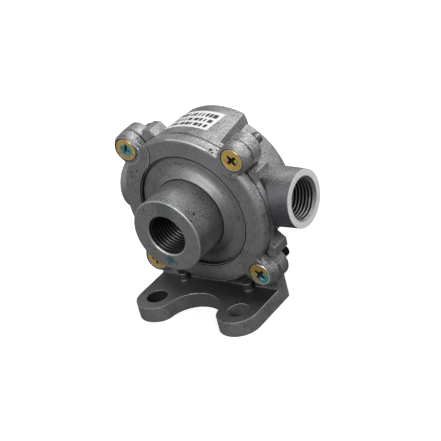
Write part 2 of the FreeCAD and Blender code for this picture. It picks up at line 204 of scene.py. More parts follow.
@dataclass
class NodeSheet:
    """A material's node tree with short helpers for adding and joining nodes."""

    name: str

    def __post_init__(self) -> None:
        """Creates the material with its output and shader nodes."""
        self.material = bpy.data.materials.new(self.name)
        self.material.use_nodes = True
        self.tree = self.material.node_tree
        self.tree.nodes.clear()
        output = self.add("ShaderNodeOutputMaterial")
        self.shader = self.add("ShaderNodeBsdfPrincipled")
        self.tree.links.new(self.shader.outputs["BSDF"], output.inputs["Surface"])

    def add(self, kind: str, **settings: object) -> bpy.types.Node:
        """Adds a node.

        Args:
            kind: Blender's node type.
            settings: node properties to set.

        Returns:
            The new node.
        """
        node = self.tree.nodes.new(kind)
        for key, value in settings.items():
            setattr(node, key, value)
        return node

    def feed(self, value: Value | Point | Colour | float, target: bpy.types.NodeSocket) -> None:
        """Links a value to an input, or sets the input when the value is a plain number or colour.

        Args:
            value: what the input gets.
            target: the input.
        """
        if isinstance(value, Value):
            self.tree.links.new(value.socket, target)
        else:
            target.default_value = value

    def put(self, name: str, value: Value | Colour | float) -> None:
        """Feeds one of the shader's own inputs."""
        self.feed(value, self.shader.inputs[name])

    def parts(self, value: Value) -> Parts:
        """Separates a place or direction into its three parts.

        Args:
            value: the place or direction.

        Returns:
            Its parts.
        """
        node = self.add("ShaderNodeSeparateXYZ")
        self.feed(value, node.inputs[0])
        return Parts(*(Value(self, node.outputs[axis]) for axis in "XYZ"))

    @cached_property
    def position(self) -> Value:
        """The object-space position, which is the frame's position in metres."""
        return Value(self, self.add("ShaderNodeTexCoord").outputs["Object"])

    @cached_property
    def normal(self) -> Value:
        """The direction that the surface faces."""
        return Value(self, self.add("ShaderNodeNewGeometry").outputs["Normal"])

    @cached_property
    def place(self) -> Parts:
        """The parts of the position."""
        return self.parts(self.position)

    @cached_property
    def facing(self) -> Parts:
        """The parts of the normal."""
        return self.parts(self.normal)

    def noise(
        self, scale: float, detail: float = 3.0, roughness: float = 0.6, seed: float | None = None
    ) -> Value:
        """Adds a noise texture on the object's position.

        Args:
            scale: cycles per metre.
            detail: octaves.
            roughness: weight of the finer octaves.
            seed: place along the noise's fourth axis, or None for plain 3-D noise.

        Returns:
            The noise value.
        """
        node = self.add("ShaderNodeTexNoise")
        node.inputs["Scale"].default_value = scale
        node.inputs["Detail"].default_value = detail
        node.inputs["Roughness"].default_value = roughness
        if seed is not None:
            node.noise_dimensions = "4D"
            node.inputs["W"].default_value = seed
        self.feed(self.position, node.inputs["Vector"])
        return Value(self, node.outputs["Fac"])

    def openness(self, distance: float, samples: int = 6) -> Value:
        """Measures how open a spot is to its surroundings.

        Args:
            distance: how far the surroundings reach, in metres.
            samples: rays per spot.

        Returns:
            A value of 1 in the open that falls towards 0 in hollows.
        """
        node = self.add("ShaderNodeAmbientOcclusion", samples=samples)
        node.inputs["Distance"].default_value = distance
        return Value(self, node.outputs["AO"])

    def rounded_normal(self, radius: float) -> Value:
        """Gives the normal with edges rounded off.

        Args:
            radius: radius of the rounding in metres.

        Returns:
            The rounded normal.
        """
        node = self.add("ShaderNodeBevel", samples=6)
        node.inputs["Radius"].default_value = radius
        return Value(self, node.outputs["Normal"])

    def math(
        self, operation: str, first: Value | float, second: Value | float = 0.0, clamp: bool = False
    ) -> Value:
        """Adds a math node.

        Args:
            operation: Blender's operation name.
            first: first value.
            second: second value.
            clamp: whether the result is held between 0 and 1.

        Returns:
            The result.
        """
        node = self.add("ShaderNodeMath", operation=operation, use_clamp=clamp)
        self.feed(first, node.inputs[0])
        self.feed(second, node.inputs[1])
        return Value(self, node.outputs[0])

    def vector_math(self, operation: str, first: Value, second: Value | Point) -> Value:
        """Adds a vector math node that gives a single number.

        Args:
            operation: Blender's operation name.
            first: first vector.
            second: second vector.

        Returns:
            The result.
        """
        node = self.add("ShaderNodeVectorMath", operation=operation)
        self.feed(first, node.inputs[0])
        self.feed(second, node.inputs[1])
        return Value(self, node.outputs["Value"])

    def hypot(self, first: Value, second: Value) -> Value:
        """Gives the distance from an axis, from the two distances across it."""
        return self.math("SQRT", first * first + second * second)

    def ramp(self, source: Value, stops: tuple[tuple[float, float | Colour], ...]) -> Value:
        """Maps a value through grey or coloured stops.

        Args:
            source: value to map.
            stops: pairs of a place and a grey or a colour, in rising order.

        Returns:
            The mapped value.
        """
        node = self.add("ShaderNodeValToRGB")
        elements = node.color_ramp.elements
        while len(elements) < len(stops):
            elements.new(0.5)
        for element, (place, tone) in zip(elements, stops):
            element.position = place
            element.color = tone if isinstance(tone, tuple) else (tone, tone, tone, 1.0)
        self.feed(source, node.inputs["Fac"])
        return Value(self, node.outputs["Color"])

    def curve(self, source: Value, points: tuple[Pair, ...]) -> Value:
        """Maps a value through a smooth curve.

        Args:
            source: value to map.
            points: places and heights of the curve, in rising order.

        Returns:
            The mapped value.
        """
        node = self.add("ShaderNodeFloatCurve")
        curve = node.mapping.curves[0]
        curve.points[0].location = points[0]
        curve.points[1].location = points[-1]
        for place, height in points[1:-1]:
            curve.points.new(place, height)
        node.mapping.update()
        self.feed(source, node.inputs["Value"])
        return Value(self, node.outputs[0])

    def mix(
        self, factor: Value | float, first: Value | Colour, second: Value | Colour, blend: str = "MIX"
    ) -> Value:
        """Mixes two colours.

        Args:
            factor: share of the second colour.
            first: first colour.
            second: second colour.
            blend: Blender's blend type.

        Returns:
            The mixed colour.
        """
        node = self.add("ShaderNodeMix", data_type="RGBA", blend_type=blend)
        self.feed(factor, node.inputs[0])
        self.feed(first, node.inputs[6])
        self.feed(second, node.inputs[7])
        return Value(self, node.outputs[2])

    def spot(self, mark: PaintMark, softness: float, ragged: float) -> Value:
        """Makes a mask that is 1 on a dab or pore.

        Args:
            mark: the dab or pore.
            softness: width of its edge, as a share of its radius.
            ragged: how far noise moves the edge in and out, as a share of its radius.

        Returns:
            The mask.
        """
        wobble = (self.noise(900.0, 2.0) - 0.5) * (4.0 * ragged * mark.radius)
        reach = self.vector_math("DISTANCE", self.position, mark.centre) + wobble
        return ((mark.radius - reach) / (softness * mark.radius)).held()

    def ring_line(self, line: RingLine) -> Value:
        """Makes a mask that is 1 along a thin circle.

        Args:
            line: the circle.

        Returns:
            The mask.
        """
        x, z = line.centre
        off = abs(self.hypot(self.place.x - x, self.place.z - z) - line.radius)
        mask = ((line.width - off) / (0.6 * line.width)).held()
        for part, (low, high) in ((self.place.y, line.depths), (self.place.x, line.across)):
            mask = mask * ((part > low) * (part < high))
        return mask

    def relief(
        self,
        height: Value,
        distance: float,
        strength: float,
        rounding: float = 0.0,
        form: tuple[Value, float] | None = None,
    ) -> None:
        """Feeds a bump, and optionally rounded edges, to the shader's normal.

        Args:
            height: height of the fine relief.
            distance: height in metres for a value of 1.
            strength: bump strength from 0 to 1.
            rounding: radius of rounded edges in metres, or 0 for none.
            form: broad relief under the fine one, as its height and the metres for a value of 1.
        """
        layers = [(height, distance, strength)]
        if form is not None:
            layers.insert(0, (*form, 1.0))
        normal = self.rounded_normal(rounding) if rounding > 0.0 else None
        for layer_height, layer_distance, layer_strength in layers:
            bump = self.add("ShaderNodeBump")
            bump.inputs["Strength"].default_value = layer_strength
            bump.inputs["Distance"].default_value = layer_distance
            self.feed(layer_height, bump.inputs["Height"])
            if normal is not None:
                self.feed(normal, bump.inputs["Normal"])
            normal = Value(self, bump.outputs["Normal"])
        self.put("Normal", normal)


@dataclass(frozen=True)
class Finish:
    """A material of the valve; each kind fills its own node sheet."""

    name: str

    def build(self) -> bpy.types.Material:
        """Builds the material.

        Returns:
            The finished material.
        """
        sheet = NodeSheet(self.name)
        self.paint(sheet)
        return sheet.material

    def paint(self, sheet: NodeSheet) -> None:
        """Stands for the method in which each kind of finish fills its sheet."""
        raise NotImplementedError(type(self).__name__)


@dataclass(frozen=True)
class CastAluminium(Finish):
    """Satin die-cast aluminium with grain, dark pores, soiling and painted shade in creases, and wear and
    painted highlight on edges.

    A machined end above 0 gives bright port faces beyond that X, and a dish depth above 0 gives the cover's
    hollow flare and painted shade on the right side of its boss and, slightly, on the flare.
    """

    machined_end: float = 0.0
    dish_depth: float = 0.0
    marks: tuple[PaintMark, ...] = ()
    lines: tuple[RingLine, ...] = ()
    light: Colour = (0.55, 0.55, 0.56, 1.0)
    dark: Colour = (0.16, 0.16, 0.164, 1.0)
    crease: Colour = (0.012, 0.012, 0.012, 1.0)
    # Lighter tone of edges, for wear and painted highlight, and of the painted highlight lines.
    wear_and_highlight: Colour = (0.80, 0.80, 0.81, 1.0)
    # Colour of the painted shade on the port's front and the lower right corner.
    flank_shade: Colour = (0.05, 0.055, 0.065, 1.0)
    # Colour of the painted shade on the boss's side and flare.
    hub_shade: Colour = (0.05, 0.05, 0.055, 1.0)
    metallic: float = 0.70
    roughness: float = 0.31
    grain_height: float = 0.14 * MM
    # The machined faces: edge of the mouth's chamfer and pitch of the turning marks.
    mouth_radius: float = 8.73 * MM
    turning_pitch: float = 0.55 * MM
    # The foot plate's top, reach in X, notch and holes, and the space over it that gets painted shade.
    foot_top: float = 6.8 * MM
    foot_reach: float = 20.0 * MM
    notch_reach: float = 10.5 * MM
    notch_fade: float = 4.0 * MM
    hole_offset: float = 19.0 * MM
    hole_reach: float = 4.35 * MM
    shelter_top: float = 15.0 * MM
    shelter_fade: float = 5.0 * MM
    # The painted shade on the right side of the boss, from a height under the valve axis upwards.
    hub_low: float = -8.0 * MM
    hub_fade: float = 6.0 * MM
    # The painted shade on the front of the right-hand port, and on the lower right corner.
    flank_start: float = 24.0 * MM
    flank_low: float = 28.0 * MM
    corner_start: float = 17.0 * MM
    corner_top: float = 25.5 * MM
    joint_width: float = 0.86 * MM
    # The flare's height, from 0 to 1, along its share of the way from the boss to the trough's wall.
    flare_curve: tuple[Pair, ...] = (
        (0.0, 0.38),
        (0.07, 0.62),
        (0.15, 0.74),
        (0.30, 0.60),
        (0.44, 0.22),
        (0.55, 0.14),
        (0.78, 0.32),
        (1.0, 0.36),
    )

    def paint(self, sheet: NodeSheet) -> None:
        """Fills the sheet with the casting's finish.

        Args:
            sheet: node sheet to fill.
        """
        grain = sheet.noise(1800.0, 4.0, 0.8)
        pores = self.pore_mask(sheet)
        openness = sheet.openness(0.9 * MM)
        base = self.ground(sheet, grain)
        base = sheet.mix(pores * 0.75, base, self.crease)
        base = self.soil_and_shade(sheet, base, openness)
        # Edges lighter from wear and painted highlight.
        edges = self.edge_mask(sheet) * openness.ramp((0.80, 0.0), (0.95, 1.0))
        base = sheet.mix(edges, base, self.wear_and_highlight)
        rough = grain * 0.22 + self.roughness
        metallic: Value | float = self.metallic
        if self.machined_end > 0.0:
            base, rough, metallic = self.machined_faces(sheet, base, rough)
        for mark in self.marks:
            base = sheet.mix(sheet.spot(mark, 0.35, 0.5) * mark.strength, base, mark.colour)
        sheet.put("Base Color", base)
        sheet.put("Roughness", rough)
        sheet.put("Metallic", metallic)
        form = (self.flare(sheet), self.dish_depth) if self.dish_depth > 0.0 else None
        sheet.relief(grain - pores * 0.6, self.grain_height, 0.95, rounding=0.40 * MM, form=form)

    def ground(self, sheet: NodeSheet, grain: Value) -> Value:
        """Gives the casting's own grained tone, darker where little light reaches it.

        Args:
            sheet: node sheet to add to.
            grain: fine noise.

        Returns:
            The colour.
        """
        coarse = (grain * 0.75 + sheet.noise(160.0, 4.0, 0.6) * 0.25).ramp((0.40, 0.0), (0.60, 1.0))
        calm = coarse * 0.36 + 0.36
        foot = self.foot_shade_mask(sheet)
        forward = (sheet.facing.y < -0.6).at_least(foot > 0.0)
        base = sheet.mix(forward * calm + (1.0 - forward) * coarse, self.dark, self.light)
        # Painted shadow on the foot plate, in its notch and holes and on what is close above it.
        base = sheet.mix(foot, base, BLACK)
        # Painted shade on the right-hand port's front and the lower right corner.
        base = sheet.mix(self.flank_shade_mask(sheet), base, self.flank_shade)
        # Painted shade on the boss's right side and its flare.
        if self.dish_depth > 0.0:
            base = sheet.mix(self.hub_shade_mask(sheet), base, self.hub_shade)
        return base

    def soil_and_shade(self, sheet: NodeSheet, base: Value, openness: Value) -> Value:
        """Adds flow lines, soiling and painted shade in hollows, drawn lines of painted shade and highlight,
        and the cover-body joint.

        Args:
            sheet: node sheet to add to.
            base: colour so far.
            openness: value that falls in hollows.

        Returns:
            The new colour.
        """
        wander = abs(sheet.noise(230.0, 2.0, 0.5) - 0.5).ramp((0.003, 1.0), (0.010, 0.0))
        patches = sheet.noise(95.0, 1.0).ramp((0.52, 0.0), (0.60, 0.8))
        base = sheet.mix(wander * patches, base, self.crease)
        # Soiling and painted shade in the hollows.
        hollows = openness.ramp((0.40, 1.0), (0.72, 0.0))
        base = sheet.mix(hollows * 0.85, base, self.crease)
        # Ring lines: painted highlights in the light tone, painted shade in the dark tone.
        for line in self.lines:
            tint = self.wear_and_highlight if line.painted_highlight else self.crease
            base = sheet.mix(sheet.ring_line(line) * line.strength, base, tint)
        return sheet.mix(self.joint_mask(sheet), base, self.crease)

    def machined_faces(self, sheet: NodeSheet, base: Value, rough: Value) -> tuple[Value, Value, Value]:
        """Turns the side ports' mouth faces into bright machined metal.

        Args:
            sheet: node sheet to add to.
            base: colour so far.
            rough: roughness so far.

        Returns:
            The new colour, the new roughness and the value for metallic.
        """
        mask = abs(sheet.place.x) > self.machined_end
        radius = sheet.hypot(sheet.place.y - PORT_Y, sheet.place.z - AXIS_HEIGHT)
        fine = sheet.noise(1300.0, 3.0).ramp((0.34, 0.86), (0.5, 1.0))
        turned = (radius * (2.0 * math.pi / self.turning_pitch)).sine() * 0.025 + 0.975
        bright = sheet.mix(1.0, fine, turned, "MULTIPLY")
        bright = sheet.mix((radius < self.mouth_radius) * 0.45, bright, self.crease)
        rough = rough * (1.0 - mask) + mask * 0.34
        return sheet.mix(mask, base, bright), rough, self.metallic - mask * (self.metallic - 0.03)

    def flare(self, sheet: NodeSheet) -> Value:
        """Gives the height of the flare, which bulges at the boss and then hollows."""
        reach = sheet.hypot(sheet.place.x, sheet.place.z - AXIS_HEIGHT)
        return sheet.curve(reach.rise(BOSS_RADIUS, TROUGH_RADIUS - BOSS_RADIUS), self.flare_curve)

    def pore_mask(self, sheet: NodeSheet) -> Value:
        """Scatters small round pores over parts of the casting.

        Args:
            sheet: node sheet to add to.

        Returns:
            A mask that is 1 in the pores.
        """
        cells = sheet.add("ShaderNodeTexVoronoi", feature="F1")
        cells.inputs["Scale"].default_value = 420.0
        sheet.feed(sheet.position, cells.inputs["Vector"])
        chosen = sheet.noise(260.0, 2.0).ramp((0.50, 0.0), (0.62, 1.0))
        return Value(sheet, cells.outputs["Distance"]).ramp((0.10, 1.0), (0.20, 0.0)) * chosen

    def foot_shade_mask(self, sheet: NodeSheet) -> Value:
        """Marks painted shade on the top of the foot plate, the walls of its notch and holes and what is
        close above it.

        Args:
            sheet: node sheet to add to.

        Returns:
            The share of darkening.
        """
        place = sheet.place
        low = place.z < self.foot_top
        upward = sheet.facing.z > 0.5
        rightward = place.x.rise(-self.foot_reach, 2.0 * self.foot_reach)
        backward = place.y.rise(-0.4 * self.foot_reach, 0.8 * self.foot_reach)
        top = low * upward * (rightward * 0.20 + backward * 0.42 + 0.22).held()
        inset = ((self.notch_reach - abs(place.x)) / self.notch_fade).held() * (place.y < SEAM_Y)
        wall = low * inset * (1.0 - upward)
        hole = sheet.hypot(abs(place.x) - self.hole_offset, place.y) < self.hole_reach
        hole = hole * (place.z < self.foot_top - 0.5 * MM)
        left_darker = (place.x < 0.0) * 0.50 + 0.30
        return (top + (wall * 0.45).at_least(hole * left_darker) + self.shelter_shade_mask(sheet)).held()

    def shelter_shade_mask(self, sheet: NodeSheet) -> Value:
        """Marks painted shade on what lies close above the foot plate, between its bolt holes.

        Args:
            sheet: node sheet to add to.

        Returns:
            The share of darkening.
        """
        place = sheet.place
        fall = ((self.shelter_top - place.z) / self.shelter_fade).held()
        within = (abs(place.x) < self.foot_reach) * (place.y < SEAM_Y + 1.0 * MM)
        return fall * (place.z > self.foot_top) * within * 0.72

    def hub_shade_mask(self, sheet: NodeSheet) -> Value:
        """Marks painted shade on the right side of the inlet boss and, slightly, on the flare round it.

        Args:
            sheet: node sheet to add to.

        Returns:
            The share of darkening.
        """
        upward = sheet.place.z - AXIS_HEIGHT
        radius = sheet.hypot(sheet.place.x, upward)
        on_boss = radius < BOSS_RADIUS + 0.3 * MM
        side = on_boss * sheet.facing.x.rise(0.15, 0.6) * upward.rise(self.hub_low, self.hub_fade)
        on_flare = (radius < TROUGH_RADIUS) * (1.0 - on_boss)
        return (side * 0.50 + on_flare * 0.16).held()

    def flank_shade_mask(self, sheet: NodeSheet) -> Value:
        """Marks painted shade on the front of the right-hand port's outer wall and on the casting's lower
        right corner.

        Args:
            sheet: node sheet to add to.

        Returns:
            The share of darkening.
        """
        place = sheet.place
        forward = (sheet.facing.y * -1.0).ramp((0.25, 0.0), (0.85, 0.70))
        wall = (place.x > self.flank_start) * (place.z > self.flank_low) * (place.y > SEAM_Y) * forward
        corner = (place.x > self.corner_start) * (place.z < self.corner_top) * (place.z > self.foot_top)
        return wall.at_least(corner * 0.24)

    def joint_mask(self, sheet: NodeSheet) -> Value:
        """Marks the thin dark joint between cover and body on the outside of the casting.

        Args:
            sheet: node sheet to add to.

        Returns:
            The share of darkening.
        """
        near = abs(sheet.place.y - SEAM_Y) < sheet.noise(700.0, 2.0) * self.joint_width
        sideways = abs(sheet.facing.y) < 0.8
        return near * (sheet.place.z > self.foot_top) * sideways * 0.9

    def edge_mask(self, sheet: NodeSheet) -> Value:
        """Finds edges by comparing the true normal with a rounded one.

        Args:
            sheet: node sheet to add to.

        Returns:
            A mask that is 1 on edges, broken here and there.
        """
        likeness = sheet.vector_math("DOT_PRODUCT", sheet.rounded_normal(0.30 * MM), sheet.normal)
        broken = sheet.noise(500.0, 2.0).ramp((0.32, 0.4), (0.55, 1.0))
        return likeness.ramp((0.90, 1.0), (0.985, 0.0)) * broken


@dataclass(frozen=True)
class ThreadMetal(Finish):
    """Cut aluminium thread: bright crests and flanks dark with painted shade."""

    crest: float

    def paint(self, sheet: NodeSheet) -> None:
        """Fills the sheet with the thread's finish.

        Args:
            sheet: node sheet to fill.
        """
        openness = sheet.openness(0.7 * MM, samples=8)
        # Painted shade in the valleys; the crest tone sets how lit the crests look.
        shade = openness.ramp((0.72, 0.001), (0.88, 0.008), (0.97, self.crest))
        uneven = sheet.noise(900.0).ramp((0.3, 0.75), (0.7, 1.0))
        sheet.put("Base Color", sheet.mix(1.0, shade, uneven, "MULTIPLY"))
        sheet.put("Metallic", openness.ramp((0.86, 0.0), (0.96, 0.8)))
        sheet.put("Specular IOR Level", 0.10)
        sheet.put("Roughness", 0.38)
        sheet.relief(sheet.noise(2400.0, 2.0), 0.02 * MM, 0.4)


@dataclass(frozen=True)
class YellowZinc(Finish):
    """Yellow passivated zinc with drifting gold, orange and green tints, dabs of paint, painted shade in its
    hollows and a painted highlight on its rim.
    """

    seed: float
    rim: RingLine
    dabs: tuple[PaintMark, ...] = ()
    wash: Colour = WHITE
    rim_highlight: Colour = (0.95, 0.93, 0.86, 1.0)
    hollow_shade: Colour = (0.008, 0.007, 0.006, 1.0)

    def paint(self, sheet: NodeSheet) -> None:
        """Fills the sheet with the screw head's finish.

        Args:
            sheet: node sheet to fill.
        """
        tint = sheet.noise(330.0, 2.0, 0.5, seed=self.seed).ramp(
            (0.28, (0.42, 0.42, 0.14, 1.0)),
            (0.42, (0.86, 0.62, 0.16, 1.0)),
            (0.52, (0.93, 0.66, 0.18, 1.0)),
            (0.62, (0.93, 0.50, 0.12, 1.0)),
            (0.74, (0.72, 0.40, 0.26, 1.0)),
        )
        base = sheet.mix(1.0, tint, self.wash, "MULTIPLY")
        openness = sheet.openness(1.4 * MM)
        metallic = openness.ramp((0.25, 0.2), (0.5, 0.6))
        for dab in self.dabs:
            spot = sheet.spot(dab, 0.22, 0.25)
            base = sheet.mix(spot * dab.strength, base, dab.colour)
            metallic = metallic * (1.0 - spot)
        # Painted shade in the hollows round the recess.
        base = sheet.mix(openness.ramp((0.30, 1.0), (0.62, 0.0)), base, self.hollow_shade)
        # Painted highlight along the rim.
        base = sheet.mix(sheet.ring_line(self.rim) * self.rim.strength, base, self.rim_highlight)
        sheet.put("Base Color", base)
        sheet.put("Metallic", metallic)
        sheet.put("Roughness", 0.33)
        sheet.relief(sheet.noise(1400.0, 2.0), 0.03 * MM, 0.5, rounding=0.12 * MM)


@dataclass(frozen=True)
class RecessShade(Finish):
    """Near-black painted shade in a cross recess, or paint that leaves only one spot of it bare."""

    bare: PaintMark | None = None
    deep_shade: Colour = (0.010, 0.009, 0.008, 1.0)
    warm_shade: Colour = (0.022, 0.018, 0.012, 1.0)

    def paint(self, sheet: NodeSheet) -> None:
        """Fills the sheet with the recess's finish.

        Args:
            sheet: node sheet to fill.
        """
        base = sheet.mix(sheet.noise(700.0, 2.0).ramp((0.35, 0.0), (0.60, 1.0)), self.deep_shade, self.warm_shade)
        if self.bare:
            base = sheet.mix(sheet.spot(self.bare, 0.3, 0.2), self.bare.colour, base)
        sheet.put("Base Color", base)
        sheet.put("Roughness", 0.6)
        sheet.relief(sheet.noise(1500.0, 2.0), 0.02 * MM, 0.4)


@dataclass(frozen=True)
class ScrewShank(Finish):
    """Plated rolled thread with its own tone on the ridges and painted shade in the valleys."""

    ridge: Colour
    valley: Colour = (0.008, 0.008, 0.008, 1.0)

    def paint(self, sheet: NodeSheet) -> None:
        """Fills the sheet with the shank's finish.

        Args:
            sheet: node sheet to fill.
        """
        # Painted shade in the valleys.
        depth = sheet.openness(0.5 * MM).ramp((0.60, 1.0), (0.88, 0.0))
        sheet.put("Base Color", sheet.mix(depth, self.ridge, self.valley))
        sheet.put("Metallic", 0.9)
        sheet.put("Roughness", 0.34)
        sheet.relief(sheet.noise(1500.0, 2.0), 0.02 * MM, 0.4)


@dataclass(frozen=True)
class Rubber(Finish):
    """Black moulded rubber with a slight bloom."""

    def paint(self, sheet: NodeSheet) -> None:
        """Fills the sheet with the rubber's finish.

        Args:
            sheet: node sheet to fill.
        """
        sheet.put("Base Color", sheet.noise(300.0).ramp((0.35, 0.012), (0.7, 0.035)))
        sheet.put("Roughness", 0.72)
        sheet.relief(sheet.noise(2000.0), 0.03 * MM, 0.5)


@dataclass(frozen=True)
class Steel(Finish):
    """Drawn or stamped steel with fine streaks."""

    low: float
    high: float
    roughness: float = 0.32

    def paint(self, sheet: NodeSheet) -> None:
        """Fills the sheet with the steel's finish.

        Args:
            sheet: node sheet to fill.
        """
        streaks = sheet.noise(1100.0, 5.0, 0.65)
        sheet.put("Base Color", streaks.ramp((0.3, self.low), (0.7, self.high)))
        sheet.put("Metallic", 1.0)
        sheet.put("Roughness", self.roughness)
        sheet.relief(streaks, 0.02 * MM, 0.5)


@dataclass(frozen=True)
class LabelPaper(Finish):
    """Matt white label stock with faint fibres."""

    def paint(self, sheet: NodeSheet) -> None:
        """Fills the sheet with the paper's finish.

        Args:
            sheet: node sheet to fill.
        """
        fibres = sheet.noise(1800.0, 3.0)
        sheet.put("Base Color", fibres.ramp((0.3, 0.80), (0.7, 0.90)))
        sheet.put("Roughness", 0.62)
        sheet.relief(fibres, 0.01 * MM, 0.4)


@dataclass(frozen=True)
class PrintInk(Finish):
    """Thin black ink of the label's bars, with paler patches."""

    def paint(self, sheet: NodeSheet) -> None:
        """Fills the sheet with the ink's finish.

        Args:
            sheet: node sheet to fill.
        """
        sheet.put("Base Color", sheet.noise(2500.0, 2.0).ramp((0.4, 0.02), (0.75, 0.10)))
        sheet.put("Roughness", 0.55)


@dataclass(frozen=True)
class PaleFloor(Finish):
    """White floor to the camera that throws only a little light up at the valve."""

    seen: Colour = WHITE
    bounce: Colour = (0.13, 0.13, 0.133, 1.0)
    glow: float = 0.45

    def paint(self, sheet: NodeSheet) -> None:
        """Fills the sheet with the floor's finish.

        Args:
            sheet: node sheet to fill.
        """
        camera_ray = Value(sheet, sheet.add("ShaderNodeLightPath").outputs["Is Camera Ray"])
        sheet.put("Base Color", sheet.mix(camera_ray, self.bounce, self.seen))
        sheet.put("Emission Strength", camera_ray * self.glow)
        sheet.put("Emission Color", WHITE)
        sheet.put("Roughness", 0.9)
        sheet.put("Specular IOR Level", 0.0)


def mm(*values: float) -> tuple[float, ...]:
    """Turns millimetres into metres."""
    return tuple(value * MM for value in values)


def link_mesh(name: str, vertices: list[Point], faces: list[Face], smooth: bool = True) -> bpy.types.Object:
    """Creates an object from points and faces and links it to the scene.

    Args:
        name: object name.
        vertices: points in metres.
        faces: vertex indices of each face.
        smooth: whether faces are shaded smooth.

    Returns:
        The new object.
    """
    mesh = bpy.data.meshes.new(name)
    mesh.from_pydata(vertices, [], faces)
    mesh.validate()
    for polygon in mesh.polygons:
        polygon.use_smooth = smooth
    obj = bpy.data.objects.new(name, mesh)
    bpy.context.scene.collection.objects.link(obj)
    return obj


def link_solid(name: str, vertices: list[Point], faces: list[Face], smooth: bool = True) -> bpy.types.Object:
    """Creates a closed object whose face normals all point outwards.

    Args:
        name: object name.
        vertices: points in metres.
        faces: vertex indices of each face.
        smooth: whether faces are shaded smooth.

    Returns:
        The new object.
    """
    obj = link_mesh(name, vertices, faces, smooth)
    shape = bmesh.new()
    shape.from_mesh(obj.data)
    bmesh.ops.recalc_face_normals(shape, faces=shape.faces)
    shape.to_mesh(obj.data)
    shape.free()
    return obj


def ring_points(place: Matrix, depth: float, radii: list[float]) -> list[Point]:
    """Gives one ring of points about a local Z axis.

    Args:
        place: local frame.
        depth: place of the ring along the axis.
        radii: one radius for each step round the ring.

    Returns:
        The ring's points.
    """
    points: list[Point] = []
    for step, radius in enumerate(radii):
        angle = 2.0 * math.pi * step / len(radii)
        points.append(tuple(place @ Vector((radius * math.cos(angle), radius * math.sin(angle), depth))))
    return points


def bridge_rings(first: int, second: int, count: int) -> list[Face]:
    """Gives the faces between two rings of points.

    Args:
        first: index of the first ring's first point.
        second: index of the second ring's first point.
        count: points in each ring.

    Returns:
        One four-sided face for each step round the rings.
    """
    faces: list[Face] = []
    for step in range(count):
        after = (step + 1) % count
        faces.append((first + step, first + after, second + after, second + step))
    return faces


def axis_frame(origin: Point, direction: Point) -> Matrix:
    """Makes the matrix of a local frame whose Z runs along a direction.

    Args:
        origin: place of the local origin.
        direction: direction of the local Z axis.

    Returns:
        The placing matrix.
    """
    turn = Vector(direction).to_track_quat("Z", "Y").to_matrix().to_4x4()
    return Matrix.Translation(Vector(origin)) @ turn


def coat(obj: bpy.types.Object, *materials: bpy.types.Material) -> None:
    """Replaces an object's materials.

    Args:
        obj: a CAD node or a new piece.
        materials: its finishes, the main one first.
    """
    obj.data.materials.clear()
    for material in materials:
        obj.data.materials.append(material)


def enlist(obj: bpy.types.Object) -> bpy.types.Object:
    """Gives a new piece of the housing its body.

    Args:
        obj: the piece.

    Returns:
        The same object.
    """
    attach(obj, HOUSING)
    LOG.info("built %s on %s", obj.name, HOUSING)
    return obj


@dataclass
class PortThread:
    """Internal thread of one port, from the mouth chamfer inwards."""

    name: str
    mouth: Point
    inward: Point
    start_depth: float = 0.45 * MM
    end_depth: float = 12.9 * MM
    root_radius: float = 7.88 * MM
    crest_radius: float = 7.15 * MM
    wall_radius: float = 7.97 * MM
    least_wall: float = 0.02 * MM
    run_out: float = 0.5 * MM
    pitch: float = 1.5 * MM
    crest_end: float = 0.16
    root_start: float = 0.50
    root_end: float = 0.64
    segments: int = 72
    rows_per_pitch: int = 8

    def profile(self, phase: float) -> float:
        """Gives the thread's radius at a phase of the pitch.

        Args:
            phase: place along one pitch, from 0 to 1.

        Returns:
            The radius.
        """
        if phase < self.crest_end:
            share = 0.0
        elif phase < self.root_start:
            share = (phase - self.crest_end) / (self.root_start - self.crest_end)
        elif phase < self.root_end:
            share = 1.0
        else:
            share = 1.0 - (phase - self.root_end) / (1.0 - self.root_end)
        return self.crest_radius + (self.root_radius - self.crest_radius) * share

    def radii(self, depth: float) -> list[float]:
        """Gives the radii of one ring of the helical wall, with a lead-in and a run-out.

        Args:
            depth: depth of the ring below the mouth.

        Returns:
            One radius for each step round the ring.
        """
        lead_in = self.wall_radius - (depth - self.start_depth)
        run_out = self.crest_radius + max(0.0, self.run_out - (self.end_depth - depth))
        radii: list[float] = []
        for step in range(self.segments):
            phase = (depth / self.pitch + step / self.segments) % 1.0
            radius = max(self.profile(phase), lead_in, run_out)
            radii.append(min(radius, self.wall_radius - self.least_wall))
        return radii

    def build(self, material: bpy.types.Material) -> bpy.types.Object:
        """Builds the thread as one closed ring with a helical inner wall.

        Args:
            material: finish of the thread.

        Returns:
            The new piece.
        """
        length = self.end_depth - self.start_depth
        rows = round(length / self.pitch * self.rows_per_pitch)
        place = axis_frame(self.mouth, self.inward)
        points: list[Point] = []
        for row in range(rows + 1):
            depth = self.start_depth + length * row / rows
            points.extend(ring_points(place, depth, self.radii(depth)))
        for depth in (self.end_depth, self.start_depth):
            points.extend(ring_points(place, depth, [self.wall_radius] * self.segments))
        starts = [ring * self.segments for ring in range(rows + 3)]
        faces: list[Face] = []
        for first, second in zip(starts, starts[1:] + starts[:1]):
            faces.extend(bridge_rings(first, second, self.segments))
        obj = link_solid(self.name, points, faces)
        coat(obj, material)
        return enlist(obj)


